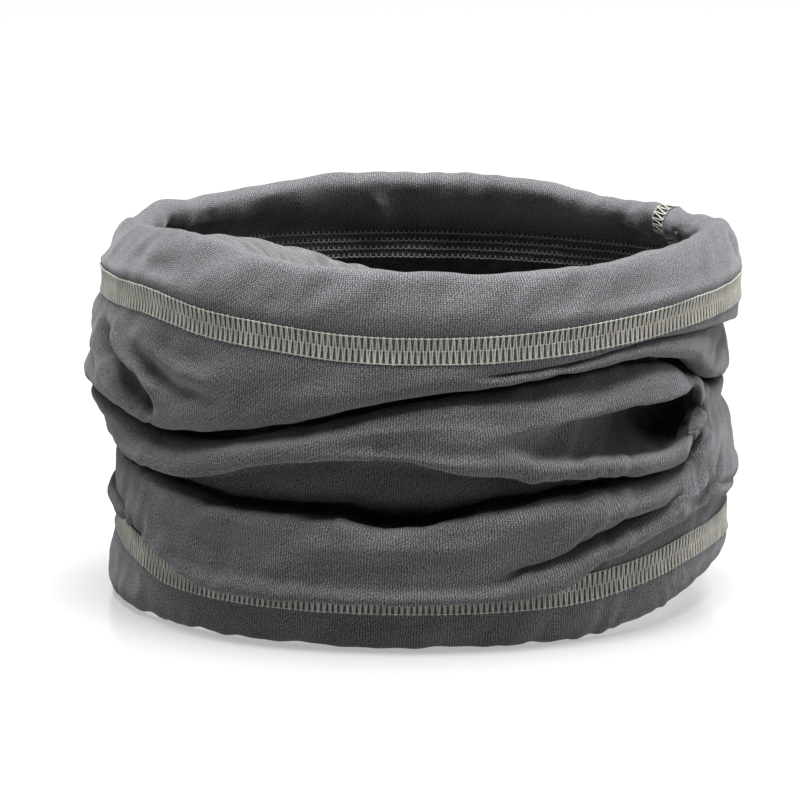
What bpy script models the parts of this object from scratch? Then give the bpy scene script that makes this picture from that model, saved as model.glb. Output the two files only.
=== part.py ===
"""Neck gaiter: a scrunched tube of brushed-back knit with two coverstitched hems.

Metres, +Z up, standing on z = 0. +X is the wearer's right as the folds are
seen from the front, and the front faces -Y. Every ring is built from one
section per azimuth, so that fabric and threads stay parallel everywhere.
"""

import math

import bmesh
import bpy
import numpy as np

# ---- driving sizes -------------------------------------------------------
# overall
TUBE_RADIUS = 0.0797
TOTAL_HEIGHT = 0.0920
CORNER_RISE = 0.0020
PLAN_SHIFT_TOP = 0.0022
PLAN_SHIFT_FOOT = 0.0007
FOOT_NARROWING = 0.0018

# cloth
CLOTH = 0.0014
HEM_GAP = 0.0010
TOP_HEM_DEPTH = 0.0228
BOTTOM_HEM_DEPTH = 0.0162
TOP_LEAN = 0.0040
FOOT_CURL = 0.0023
FOOT_LIFT = 0.0080
FOOT_LIFT_HALF_ANGLE = math.radians(52.0)

# stitches
GAUGE = 0.0064
THREAD = 0.00035
RAW_EDGE_MARGIN = 0.0015
SEAM_WIDTH = 0.0056
SEAM_AZIMUTH = math.radians(30.0)

# clearances
JOIN_GAP = 0.0003
THREAD_GAP = 0.0004

# folds, as shares of the wall's own height between the two hems
LIP_1 = 0.800
LIP_1_TILT = 0.100
LIP_1_FRONT = 0.055
TIER_2_END = 0.505
TIER_2_END_TILT = 0.028
TIER_2_END_FRONT = 0.028
LIP_2 = 0.320
LIP_2_TILT = 0.075
LIP_2_FRONT = -0.065

# folds, as distances from the tube's radius
FOLD_OPENING = 0.0056
BULGE = 0.0018
LEFT_BULGE = 0.0026
TUCK_DEPTH = 0.0090
INNER_FOLD_STEP = 0.0062
INNER_ROLL_DEPTH = 0.0120
INNER_ROLL_RISE = 0.0200
INNER_ROLL_AZIMUTH = math.radians(152.0)
INNER_ROLL_SPREAD = math.radians(62.0)
RECESS_DEPTH = 0.0085
HOLLOW_DEPTH = 0.0075
HOLLOW_AZIMUTH = math.radians(-51.0)
HOLLOW_SPREAD = math.radians(17.0)
FOLD_ROUNDING = 0.0030

# resolution
SEGMENTS = 40
ARC_STEPS = 2

CLOTH_COLOUR = (0.105, 0.105, 0.112, 1.0)
THREAD_COLOUR = (0.400, 0.385, 0.345, 1.0)

HEM_THICKNESS = 2.0 * CLOTH + HEM_GAP
STITCH_HALF = 0.5 * GAUGE
TOP_EDGE = TOTAL_HEIGHT - TOP_HEM_DEPTH
TOP_STITCH = TOP_EDGE + RAW_EDGE_MARGIN + STITCH_HALF
BOTTOM_STITCH = BOTTOM_HEM_DEPTH - RAW_EDGE_MARGIN - STITCH_HALF
WALL_HEIGHT = TOP_EDGE - BOTTOM_HEM_DEPTH - 2.0 * JOIN_GAP

STEP = 2.0 * math.pi / SEGMENTS
AZIMUTHS = [SEAM_AZIMUTH + (i + 0.5) * STEP for i in range(SEGMENTS)]


# ---- helpers -------------------------------------------------------------
def smooth(t):
    t = min(1.0, max(0.0, t))
    return t * t * (3.0 - 2.0 * t)


def angle_between(a, b):
    return abs((a - b + math.pi) % (2.0 * math.pi) - math.pi)


def bump(azimuth, centre, spread):
    return math.exp(-((angle_between(azimuth, centre) / spread) ** 2))


def lift(azimuth):
    """How far the lower hem rises off the ground at the right-hand end."""
    off = angle_between(azimuth, 0.0)
    return FOOT_LIFT * smooth(1.0 - off / FOOT_LIFT_HALF_ANGLE)


def tube_radius(z):
    return TUBE_RADIUS - FOOT_NARROWING * (1.0 - smooth(z / TOTAL_HEIGHT))


def place(azimuth, radius, z):
    """A point of the row frame from its azimuth, radius and height."""
    share = z / TOTAL_HEIGHT
    shift = PLAN_SHIFT_FOOT + (PLAN_SHIFT_TOP - PLAN_SHIFT_FOOT) * share
    return (
        shift + radius * math.cos(azimuth),
        radius * math.sin(azimuth),
        z,
    )


def rounded(path, radius):
    """The path with every inner corner replaced by an arc of ARC_STEPS + 1 points."""
    points = [path[0]]
    for before, corner, after in zip(path, path[1:], path[2:]):
        a = before - corner
        b = after - corner
        la = np.linalg.norm(a)
        lb = np.linalg.norm(b)
        a = a / la
        b = b / lb
        cosine = float(np.clip(np.dot(a, b), -0.9999, 0.9999))
        half = 0.5 * math.acos(cosine)
        reach = min(radius / math.tan(half), 0.48 * la, 0.48 * lb)
        start = corner + a * reach
        end = corner + b * reach
        for i in range(ARC_STEPS + 1):
            t = i / ARC_STEPS
            early = (1.0 - t) ** 2
            late = t * t
            points.append(start * early + corner * (1.0 - early - late) + end * late)
    points.append(path[-1])
    return np.array(points)


def offset(path, distance):
    """The path moved sideways: positive distances go towards the tube's axis.

    The ends move level, so that the cloth's cut edges face the hems squarely.
    """
    ahead = np.vstack([path[1:], path[-1:]])
    behind = np.vstack([path[:1], path[:-1]])
    first = path - behind
    second = ahead - path
    first[0] = second[0]
    second[-1] = first[-1]
    first = first / np.linalg.norm(first, axis=1)[:, None]
    second = second / np.linalg.norm(second, axis=1)[:, None]
    mean = first + second
    mean = mean / np.linalg.norm(mean, axis=1)[:, None]
    stretch = 1.0 / np.clip(np.sum(mean * second, axis=1), 0.6, 1.0)
    side = np.stack([mean[:, 1], -mean[:, 0]], axis=1)
    side[0] = (-1.0, 0.0)
    side[-1] = (-1.0, 0.0)
    stretch[0] = 1.0
    stretch[-1] = 1.0
    return path + side * (distance * stretch)[:, None]


def wall_path(azimuth):
    """Middle line of the gathered wall, from the top hem down to the bottom hem."""
    right = math.cos(azimuth)
    front = -math.sin(azimuth)
    foot = BOTTOM_HEM_DEPTH + lift(azimuth) + JOIN_GAP
    top = TOP_EDGE - JOIN_GAP
    tall = WALL_HEIGHT
    base = BOTTOM_HEM_DEPTH + JOIN_GAP

    lip_1 = base + tall * (LIP_1 + LIP_1_TILT * right + LIP_1_FRONT * front)
    end_2 = base + tall * (
        TIER_2_END + TIER_2_END_TILT * right + TIER_2_END_FRONT * front
    )
    lip_2 = base + tall * (LIP_2 + LIP_2_TILT * right + LIP_2_FRONT * front)

    half = 0.5 * FOLD_OPENING
    roll = bump(azimuth, INNER_ROLL_AZIMUTH, INNER_ROLL_SPREAD)
    hollow = bump(azimuth, HOLLOW_AZIMUTH, HOLLOW_SPREAD)
    left = bump(azimuth, math.pi, math.radians(45.0))
    tuck = TUCK_DEPTH
    fold_out = tuck + 0.55 * INNER_ROLL_DEPTH * roll
    fold_in = tuck + INNER_FOLD_STEP + INNER_ROLL_DEPTH * roll
    fold_top = lip_1 + half + 0.55 * FOLD_OPENING + INNER_ROLL_RISE * roll
    recess = RECESS_DEPTH
    belly = BULGE - HOLLOW_DEPTH * hollow

    rows = [
        (0.0, top),
        (BULGE + LEFT_BULGE * left, 0.5 * (top + lip_1 + half)),
        (0.2 * BULGE + LEFT_BULGE * left, lip_1 + half),
        (-fold_out, lip_1 + half),
        (-fold_out, fold_top + half),
        (-fold_in, fold_top + half),
        (-fold_in, lip_1 - half),
        (-0.5 * BULGE, lip_1 - half),
        (belly, 0.5 * (lip_1 - half + end_2)),
        (-0.5 * BULGE, end_2),
        (-recess, end_2 - 0.25 * half),
        (-recess, lip_2),
        (-0.5 * BULGE, lip_2 - 0.25 * half),
        (0.7 * BULGE, 0.5 * (lip_2 + foot)),
        (0.0, foot),
    ]
    middle = 0.5 * CLOTH
    path = [np.array([tube_radius(z) - middle + d, z]) for d, z in rows]
    return rounded(path, FOLD_ROUNDING)


def wall_section(azimuth):
    path = wall_path(azimuth)
    outer = offset(path, -0.5 * CLOTH)
    inner = offset(path, 0.5 * CLOTH)
    return np.vstack([outer, inner[::-1]])


def top_bend(z):
    return TOP_LEAN * smooth((z - TOP_EDGE) / TOP_HEM_DEPTH)


def rim_height(azimuth):
    return TOTAL_HEIGHT + CORNER_RISE * math.cos(azimuth) ** 4


def top_section(azimuth):
    """Inverted U: the outer layer, the rolled rim and the turned-in layer."""
    rim = rim_height(azimuth)
    tall = rim - TOP_EDGE
    levels = [TOP_EDGE + tall * share for share in (0.0, 0.35, 0.62, 0.86)]
    outer = [(tube_radius(z) - top_bend(z), z) for z in levels]
    inner = [(r - HEM_THICKNESS, z) for r, z in outer]
    gap_out = [(r - CLOTH, z) for r, z in outer[:3]]
    gap_in = [(r - CLOTH - HEM_GAP, z) for r, z in outer[:3]]
    crown_r = outer[-1][0] - 0.5 * HEM_THICKNESS
    crown = [
        (crown_r + 0.36 * HEM_THICKNESS, rim - 0.30 * HEM_THICKNESS),
        (crown_r, rim),
        (crown_r - 0.36 * HEM_THICKNESS, rim - 0.30 * HEM_THICKNESS),
    ]
    loop = outer + crown + inner[::-1] + gap_in + gap_out[::-1]
    return np.array(loop)


def foot_bend(z):
    return FOOT_CURL * (1.0 - smooth(z / (0.5 * BOTTOM_HEM_DEPTH)))


def bottom_section(azimuth):
    """U: the outer layer, the flat turned edge it stands on, the inner layer."""
    up = lift(azimuth)
    levels = [BOTTOM_HEM_DEPTH * share for share in (1.0, 0.5, 0.22, 0.0)]
    outer = [(tube_radius(z) - foot_bend(z), z) for z in levels]
    inner = [(r - HEM_THICKNESS, z) for r, z in outer]
    floor = CLOTH
    levels_gap = levels[:3]
    gap_out = [(tube_radius(z) - foot_bend(z) - CLOTH, z) for z in levels_gap]
    gap_in = [(r - HEM_GAP, z) for r, z in gap_out]
    gap_out.append((tube_radius(floor) - foot_bend(floor) - CLOTH, floor))
    gap_in.append((gap_out[-1][0] - HEM_GAP, floor))
    loop = outer + inner[::-1] + gap_in + gap_out[::-1]
    return np.array([(r, z + up) for r, z in loop])


def thread_ring(level, depth, half_height, thickness):
    """Section of a thread: depth is from the outer face to its outer side."""

    def section(azimuth):
        z, bend, up = level(azimuth)
        low = z - half_height
        high = z + half_height
        out_low = tube_radius(low) - bend(low) - depth
        out_high = tube_radius(high) - bend(high) - depth
        return np.array(
            [
                (out_high, high + up),
                (out_high - thickness, high + up),
                (out_low - thickness, low + up),
                (out_low, low + up),
            ]
        )

    return section


def top_level(step):
    return lambda azimuth: (TOP_STITCH + step * STITCH_HALF, top_bend, 0.0)


def bottom_level(step):
    return lambda azimuth: (BOTTOM_STITCH + step * STITCH_HALF, foot_bend, lift(azimuth))


# ---- solids --------------------------------------------------------------
def material(name, colour, roughness):
    made = bpy.data.materials.new(name)
    made.use_nodes = True
    shader = made.node_tree.nodes["Principled BSDF"]
    shader.inputs["Base Color"].default_value = colour
    shader.inputs["Roughness"].default_value = roughness
    made.diffuse_color = colour
    return made


def add_solid(name, points, faces, colour, roughness):
    mesh = bpy.data.meshes.new(name)
    mesh.from_pydata(points, [], faces)
    shape = bmesh.new()
    shape.from_mesh(mesh)
    bmesh.ops.recalc_face_normals(shape, faces=shape.faces)
    bmesh.ops.triangulate(shape, faces=shape.faces)
    if shape.calc_volume(signed=True) < 0.0:
        bmesh.ops.reverse_faces(shape, faces=shape.faces)
    shape.to_mesh(mesh)
    shape.free()
    mesh.materials.append(material(name + "_material", colour, roughness))
    made = bpy.data.objects.new(name, mesh)
    bpy.context.scene.collection.objects.link(made)
    return made


def ring(name, section, colour=CLOTH_COLOUR, roughness=0.9):
    loops = [section(azimuth) for azimuth in AZIMUTHS]
    count = len(loops[0])
    points = []
    for azimuth, loop in zip(AZIMUTHS, loops):
        points.extend(place(azimuth, r, z) for r, z in loop)
    faces = []
    for i in range(SEGMENTS):
        here = i * count
        there = ((i + 1) % SEGMENTS) * count
        for j in range(count):
            k = (j + 1) % count
            faces.append((here + j, there + j, there + k, here + k))
    return add_solid(name, points, faces, colour, roughness)


def seam_strip(name, side, across, width):
    """A strip along the back seam, parallel to one flat column of the wall."""
    near = 0.5 * CLOTH + THREAD_GAP
    far = near + THREAD
    corners = []
    for azimuth in (AZIMUTHS[-1], AZIMUTHS[0]):
        path = wall_path(azimuth)
        for distance in (near, far):
            line = offset(path, side * distance)[1:-1]
            corners.append([np.array(place(azimuth, r, z)) for r, z in line])
    column = 2.0 * (TUBE_RADIUS - TUCK_DEPTH - INNER_FOLD_STEP) * math.sin(0.5 * STEP)
    low = 0.5 + (across - 0.5 * width) / column
    high = 0.5 + (across + 0.5 * width) / column
    points = []
    for a, b, c, d in zip(*corners):
        points.append(a + (c - a) * low)
        points.append(a + (c - a) * high)
        points.append(b + (d - b) * high)
        points.append(b + (d - b) * low)
    faces = []
    count = len(points) // 4
    for i in range(count - 1):
        for j in range(4):
            k = (j + 1) % 4
            faces.append((4 * i + j, 4 * i + k, 4 * i + 4 + k, 4 * i + 4 + j))
    faces.append((0, 3, 2, 1))
    last = 4 * count - 4
    faces.append((last, last + 1, last + 2, last + 3))
    return add_solid(name, points, faces, THREAD_COLOUR, 0.7)


def build():
    for old in list(bpy.data.objects):
        bpy.data.objects.remove(old, do_unlink=True)

    ring("top_hem", top_section)
    ring("gathered_wall", wall_section)
    ring("bottom_hem", bottom_section)

    needle_depth = CLOTH + 0.5 * (HEM_GAP - THREAD)
    band_half = STITCH_HALF + THREAD
    inside = HEM_THICKNESS + THREAD_GAP
    outside = -THREAD_GAP - THREAD
    for prefix, level in (("top", top_level), ("bottom", bottom_level)):
        for word, step in (("upper", 1.0), ("middle", 0.0), ("lower", -1.0)):
            thread = thread_ring(level(step), needle_depth, 0.5 * THREAD, THREAD)
            ring(prefix + "_needle_" + word, thread, THREAD_COLOUR, 0.7)
        cover = thread_ring(level(0.0), outside, band_half, THREAD)
        ring(prefix + "_cover_thread", cover, THREAD_COLOUR, 0.7)
        looper = thread_ring(level(0.0), inside, band_half, THREAD)
        ring(prefix + "_looper_thread", looper, THREAD_COLOUR, 0.7)

    lane = 0.5 * SEAM_WIDTH - 0.5 * THREAD
    band = SEAM_WIDTH - 2.0 * THREAD - 2.0 * THREAD_GAP
    seam_strip("seam_needle_left", 1.0, -lane, THREAD)
    seam_strip("seam_needle_right", 1.0, lane, THREAD)
    seam_strip("seam_looper_thread", 1.0, 0.0, band)
    seam_strip("seam_cover_thread", -1.0, 0.0, band)

    # centre the finished object on the row frame's axis, standing on z = 0
    made = list(bpy.context.scene.collection.objects)
    corners = np.array([v.co[:] for item in made for v in item.data.vertices])
    low = corners.min(axis=0)
    high = corners.max(axis=0)
    move = np.array([-0.5 * (low[0] + high[0]), -0.5 * (low[1] + high[1]), -low[2]])
    for item in made:
        for vertex in item.data.vertices:
            vertex.co = vertex.co + type(vertex.co)(move)
        item.data.update()


build()
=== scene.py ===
"""Neck gaiter, as it looks: knit cloth in scrunched folds, coverstitched hems, studio light."""

import math

import bpy
import numpy as np
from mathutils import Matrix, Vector


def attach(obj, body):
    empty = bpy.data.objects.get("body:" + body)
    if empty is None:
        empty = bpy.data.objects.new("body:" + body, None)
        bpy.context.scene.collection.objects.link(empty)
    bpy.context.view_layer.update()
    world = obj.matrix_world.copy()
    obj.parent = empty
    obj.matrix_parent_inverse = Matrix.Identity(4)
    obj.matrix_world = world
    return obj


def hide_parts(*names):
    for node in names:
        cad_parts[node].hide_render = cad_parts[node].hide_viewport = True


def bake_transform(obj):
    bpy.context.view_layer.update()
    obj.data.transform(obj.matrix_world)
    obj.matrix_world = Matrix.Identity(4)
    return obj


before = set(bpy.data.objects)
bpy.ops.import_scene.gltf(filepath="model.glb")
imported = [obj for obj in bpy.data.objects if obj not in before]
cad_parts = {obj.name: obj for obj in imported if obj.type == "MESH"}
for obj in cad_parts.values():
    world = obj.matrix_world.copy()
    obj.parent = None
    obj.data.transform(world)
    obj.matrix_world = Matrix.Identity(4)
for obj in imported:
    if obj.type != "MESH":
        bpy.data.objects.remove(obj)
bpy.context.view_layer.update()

MM = 0.001

# ---- camera ---------------------------------------------------------------
AIM = np.array((-0.0033, 0.0085, 0.0458))
ELEVATION = math.radians(10.5)
DISTANCE = 1.6
camera_data = bpy.data.cameras.new("camera")
camera_data.lens = 284.0
camera_data.sensor_width = 36.0
camera_data.clip_start = 0.05
camera_data.clip_end = 50.0
camera = bpy.data.objects.new("camera", camera_data)
back = np.array((0.0, -math.cos(ELEVATION), math.sin(ELEVATION)))
camera.location = AIM + DISTANCE * back
camera.rotation_euler = (math.radians(90.0) - ELEVATION, 0.0, 0.0)
bpy.context.scene.collection.objects.link(camera)
bpy.context.scene.camera = camera

# ---- sizes, in millimetres ------------------------------------------------
RADIUS = 79.5
ROUND = 500.0
CLOTH = 1.25
GAUGE = 6.4
STITCH_PITCH = 1.5
COVER_THREAD, SEAM_COVER_THREAD = 0.21, 0.19
LOOPER_THREAD, SEAM_LOOPER_THREAD = 0.18, 0.17
NEEDLE_THREAD, SEAM_NEEDLE_THREAD = 0.12, 0.13

# points round the tube and down the cloth
COLUMNS = 640
TOP_ROWS = 76
WALL_ROWS = 260
FOOT_ROWS = 50

PHI = np.arange(COLUMNS) * (360.0 / COLUMNS) - 180.0


# ---- lines round the tube ----------------------------------------------------
def around(*points):
    """A smooth closed line through (azimuth from the front in degrees, value) pairs."""
    p = sorted(points)
    x = np.array([q[0] for q in p], float)
    y = np.array([q[1] for q in p], float)
    x = np.concatenate([x[-3:] - 360.0, x, x[:3] + 360.0])
    y = np.concatenate([y[-3:], y, y[:3]])
    h = np.diff(x)
    slope = np.diff(y) / h
    m = np.zeros(len(x))
    for i in range(1, len(x) - 1):
        if slope[i - 1] * slope[i] > 0.0:
            a = 2.0 * h[i] + h[i - 1]
            b = h[i] + 2.0 * h[i - 1]
            m[i] = (a + b) / (a / slope[i - 1] + b / slope[i])
    k = np.clip(np.searchsorted(x, PHI, side="right") - 1, 0, len(x) - 2)
    t = (PHI - x[k]) / h[k]
    value = (
        (2 * t**3 - 3 * t**2 + 1) * y[k]
        + (t**3 - 2 * t**2 + t) * h[k] * m[k]
        + (-2 * t**3 + 3 * t**2) * y[k + 1]
        + (t**3 - t**2) * h[k] * m[k + 1]
    )
    return soften(value, 1.2)


def soften(value, degrees):
    """Gaussian smoothing round the tube."""
    spread = degrees * COLUMNS / 360.0
    reach = int(3 * spread) + 1
    w = np.exp(-0.5 * (np.arange(-reach, reach + 1) / spread) ** 2)
    w /= w.sum()
    padded = np.concatenate([value[-reach:], value, value[:reach]])
    return np.convolve(padded, w, "valid")


def window(low0, low1, high0, high1):
    """One inside low1..high0, nothing outside low0..high1."""
    up = np.clip((PHI - low0) / (low1 - low0), 0, 1)
    down = np.clip((high1 - PHI) / (high1 - high0), 0, 1)
    return (up * up * (3 - 2 * up)) * (down * down * (3 - 2 * down))


def near(centre, spread):
    """A bell round one azimuth: one at its centre."""
    off = np.abs((PHI - centre + 180.0) % 360.0 - 180.0)
    return np.exp(-((off / spread) ** 2))


# heights of the main lines, in millimetres
stitch_top = around(
    (-90, 79.6), (-68, 80.2), (-59, 80.4), (-52, 79.7), (-42, 77.7), (-25, 75.8),
    (-11, 74.2), (0, 73.9), (10, 74.0), (24, 74.9), (41, 76.6), (57, 78.0),
    (75, 78.4), (95, 78.3), (120, 77.0), (150, 76.2), (180, 76.4), (-145, 77.2),
    (-112, 78.6),
)
rim = around(
    (-90, 94.0), (-78, 95.0), (-67, 96.0), (-58, 97.2), (-51, 96.9), (-44, 96.3),
    (-38, 95.8), (-31, 94.4), (-24, 93.3), (-10, 92.9), (10, 91.9), (33, 92.0),
    (45, 92.9), (60, 93.6), (75, 94.3), (87, 94.4), (97, 92.4), (108, 91.6),
    (113, 90.6), (117, 91.2), (122, 90.9), (127, 91.5), (132, 90.6), (140, 91.2),
    (154, 93.3), (168, 94.6), (-170, 95.0), (-155, 94.4), (-146, 93.6),
    (-137, 92.8), (-130, 92.9), (-124, 92.4), (-117, 93.5), (-109, 92.6),
    (-101, 91.8),
)
rim_lean = around(
    (-90, 6.5), (-72, 8.0), (-55, 9.0), (-40, 7.5), (-20, 5.4), (0, 5.2), (30, 5.4),
    (50, 6.5), (68, 6.5), (85, 5.0), (105, 5.0), (112, 6.5), (118, 5.2), (140, 5.8),
    (180, 6.4), (-150, 6.2), (-125, 7.0), (-114, 5.4), (-103, 5.4),
)
lip_1 = around(
    (-87, 52.5), (-73, 51.9), (-66, 51.0), (-59, 49.7), (-53, 48.8), (-43, 49.9),
    (-35, 52.0), (-21.5, 55.7), (-9, 60.0), (0, 62.7), (8, 64.0), (17, 65.2),
    (26, 66.6), (33, 67.3), (40, 68.2), (47, 67.8), (54, 66.4), (59, 64.0), (63, 61.0),
    (68, 58.4), (75, 56.8), (90, 56.2), (135, 58.0), (180, 58.0), (-135, 55.5),
)
top_2 = lip_1 - around(
    (-95, 0.8), (-78, 0.9), (-59, 1.8), (-9, 2.0), (10, 1.9), (60, 1.4), (90, 1.2), (180, 3.0),
)
brow = around(
    (-90, 66.0), (0, 67.6), (15, 67.6), (21, 67.9), (28.5, 69.3), (35, 71.0), (44, 72.4),
    (53, 72.3), (66, 72.0), (80, 71.0), (95, 70.6), (135, 69.0), (180, 69.0),
)
end_2 = around(
    (-90, 41.5), (-70, 39.6), (-60, 38.9), (-47, 38.4), (-38, 40.6), (-31, 43.6),
    (-11.5, 47.0), (-4, 46.6), (5, 44.5), (14, 42.6), (21, 41.0), (32, 40.4),
    (45, 39.4), (50, 39.2), (54, 40.5), (58, 43.2), (61, 46.8), (64, 50.8), (68, 53.4),
    (75, 54.2), (90, 53.4), (135, 47.0), (180, 44.0), (-135, 43.0),
)
top_3 = around(
    (-90, 39.8), (-70, 38.2), (-59, 37.0), (-47, 35.1), (-40, 33.0), (-32, 32.3), (-24, 32.0),
    (-14, 31.6), (-10, 29.8), (-2.6, 29.5), (3.6, 30.4), (14, 33.2), (25, 35.4),
    (35, 36.9), (45, 37.8), (50, 37.9), (54, 39.0), (58, 41.2), (61, 44.8), (64, 48.6),
    (68, 51.2), (75, 52.0), (90, 51.2), (135, 41.0), (180, 36.0), (-135, 36.5),
)
ridge_3 = around(
    (-90, 29.0), (-64, 30.5), (-47, 29.2), (-40, 28.0), (-33, 26.3), (-21.6, 25.2),
    (-11.5, 23.6), (0, 23.0), (10, 24.0), (21, 26.5), (33, 29.6), (42.4, 32.9),
    (49, 35.0), (54, 36.2), (58, 38.0), (63, 40.6), (68, 41.0), (75, 38.5), (90, 34.5),
    (135, 31.0), (180, 28.0), (-135, 29.0),
)
crease_3 = around(
    (-90, 25.5), (-60, 22.5), (-40, 18.2), (-20, 17.6), (0, 16.6), (10.5, 16.6),
    (14, 17.6), (21, 20.3), (28.4, 22.9), (35.6, 26.0), (41.7, 28.6), (48.4, 31.2),
    (51, 32.4), (60, 33.0), (70, 32.0), (90, 29.0), (135, 25.0), (180, 23.0), (-135, 24.5),
)
over = around(
    (-90, 27.0), (-75, 27.0), (-68, 25.6), (-63.5, 22.6), (-57.8, 19.3), (-50, 16.4),
    (-45.9, 14.3), (-37.3, 12.3), (-21, 12.0), (-3.4, 12.3), (10.4, 12.5),
    (24, 13.4), (28, 15.2), (32, 19.4), (39, 21.6), (47.6, 24.4), (54.6, 26.3), (61, 27.6),
    (66, 28.6), (75, 28.0), (90, 26.0), (135, 20.0), (180, 19.0), (-135, 21.0),
)
stitch_foot = around(
    (-90, 20.3), (-78, 20.3), (-70, 19.0), (-59, 16.2), (-52, 13.7), (-30, 12.5), (0, 12.4), (25, 12.6),
    (40, 14.4), (50, 16.4), (60, 18.4), (75, 19.4), (90, 19.4), (115, 15.6),
    (135, 13.2), (180, 12.4), (-135, 13.6),
)
foot = around(
    (-90, 0.0), (0, 0.0), (30, 0.0), (38, 0.8), (48, 2.6), (56, 4.8), (66, 7.4),
    (80, 9.6), (95, 9.6), (112, 5.5), (130, 1.2), (142, 0.0), (180, 0.0),
)

# how far the folds stand out from, or go in behind, the tube's own radius
belly_1 = around(
    (-90, 2.2), (-75, 2.0), (-64, 1.9), (-41, 2.3), (-21, 2.2), (0, 1.6), (22, 1.5),
    (41, 1.3), (58, 0.2), (70, -1.6), (90, -3.0), (135, 0.0), (180, 1.5), (-135, 3.0),
)
belly_2 = around(
    (-90, -0.4), (-60, 0.6), (-41, 1.2), (-20, 1.6), (0, 1.4), (20, 1.2), (45, 1.2),
    (57, 0.8), (63, -1.0), (72, -2.6), (90, -3.0), (135, -0.5), (180, 0.8), (-135, 0.5),
)
recess = around(
    (-90, 4.5), (-64, 4.0), (-47, 5.5), (-31, 9.0), (-10, 10.5), (10, 10.5),
    (30, 9.5), (45, 7.5), (54, 5.0), (62, 3.8), (75, 3.4), (90, 3.6), (135, 6.0), (180, 7.0),
    (-135, 6.0),
) * (1.0 + 0.25 * near(-5.0, 45.0))
belly_3 = around(
    (-90, -3.4), (-64, -0.6), (-45, 1.2), (-20, 1.8), (0, 2.0), (20, 2.0),
    (45, 1.4), (56, 0.6), (66, 0.0), (90, -0.1), (135, 1.0), (180, 1.2), (-135, -0.5),
)
over_out = around(
    (-90, -3.2), (-70, -1.8), (-60, -0.6), (-50, 1.0), (-40, 2.3), (-20, 2.9),
    (10, 2.9), (28, 2.0), (40, 1.4), (64, 0.6), (90, -1.0), (135, -0.6), (180, 0.0),
    (-135, -1.6),
)

# the cloth that rolls inwards behind the first tier, highest at the left
roll = near(-115.0, 50.0)
roll_top = around(
    (-128, 82.0), (-112, 84.6), (-96, 83.6), (-80, 78.0), (-60, 68.0), (-30, 67.0), (0, 69.0),
    (40, 74.0), (90, 68.0), (135, 66.0), (165, 66.0), (180, 67.5), (-165, 71.0), (-146, 77.5),
)

# the pocket in the second tier: its upper and lower edge, and how deep it goes straight back
hollow_top = around(
    (0, 52.0), (14, 52.2), (22.7, 54.2), (28, 55.4), (39, 56.8), (47, 56.9), (54.5, 56.8),
    (57.5, 56.4), (60, 55.8), (64, 55.4), (75, 55.0), (90, 54.4), (180, 50.0),
)
hollow_low = around(
    (0, 50.0), (14, 49.6), (24.8, 46.2), (31.3, 46.4), (41.6, 44.7), (48.3, 44.9),
    (53.5, 46.4), (56.5, 48.4), (60, 50.6), (64, 52.6), (75, 54.6), (90, 54.0), (180, 49.0),
)
hollow = around(
    (-60, 0.0), (0, 0.0), (12, 0.0), (19, 2.0), (26, 6.0), (31, 11.0), (36, 20.0), (41, 28.0),
    (53.0, 28.0), (56.0, 20.0), (58.6, 5.0), (61, 0.0), (90, 0.0), (180, 0.0), (-120, 0.0),
)

# short tucks: under the band at the right, and a slit in the third tier
tuck = window(4.0, 22.0, 120.0, 150.0) * around((0, 2.2), (30, 2.8), (60, 3.0), (90, 3.4), (180, 2.0))
slit_3 = window(11.0, 24.0, 47.0, 55.0)
drop_2 = around(
    (-90, 1.4), (0, 2.0), (12, 3.0), (24, 5.0), (38, 5.4), (48, 3.0), (58, 1.6), (64, 0.8),
    (90, 0.6), (180, 1.5),
)

# away from the pocket its rows are spread over the second tier
share_top = end_2 + 0.62 * (top_2 - end_2)
share_low = end_2 + 0.30 * (top_2 - end_2)
pocket = window(8.0, 16.0, 70.0, 110.0)
hollow_top = share_top + (hollow_top - share_top) * pocket
hollow_low = share_low + (hollow_low - share_low) * pocket

band_low = stitch_top - 3.6


def row(out, height, back=0.0):
    """A line round the tube: how far out from the tube's radius, how high, how far straight back."""
    return np.stack([out + 0.0 * PHI, height + 0.0 * PHI, back + 0.0 * PHI], axis=1)


top_rows = [
    row(-2.9, stitch_top - 4.9),
    row(-2.9, stitch_top - 1.0),
    row(-3.1, stitch_top + 3.6),
    row(-4.6 - 0.25 * rim_lean, stitch_top + 7.5),
    row(-4.9 - 0.62 * rim_lean, rim - 7.0),
    row(-3.6 - rim_lean, rim - 2.6),
    row(-1.6 - rim_lean, rim - 0.5),
    row(0.2 - rim_lean, rim),
    row(2.0 - rim_lean, rim - 1.1),
    row(1.9 - 0.62 * rim_lean, rim - 4.6),
    row(1.7 - 0.28 * rim_lean, rim - 9.0),
    row(1.1, stitch_top + 5.0),
    row(0.5, stitch_top + 3.0),
]
stitch_row = row(0.35, stitch_top)


def mix(a, b, share):
    return a * (1.0 - share) + b * share


# where each local shape acts: zero to one round the tube, or millimetres for tilt, tip and foot_in
tucked = np.clip(tuck / 1.2, 0.0, 1.0)
tilt = 1.3 * window(-75.0, -45.0, 50.0, 60.0)
tip = 4.6 * near(-97.0, 24.0)
lean = window(-75.0, -55.0, 5.0, 25.0)
foot_in = 2.6 * window(-140.0, -112.0, -84.0, -60.0)
hang = 1.0 - window(-140.0, -115.0, -80.0, -68.0)
folded = 1.0 - window(63.0, 68.0, 105.0, 135.0)
cave = end_2 - top_3
shallow = np.clip(1.0 - hollow / 10.0, 0.0, 1.0)


def into(share, height, step):
    """A row inside the second crease, or on the plain wall where that crease runs out."""
    return row(mix(mix(belly_2, belly_3, step), -share * recess, folded), height)


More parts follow.
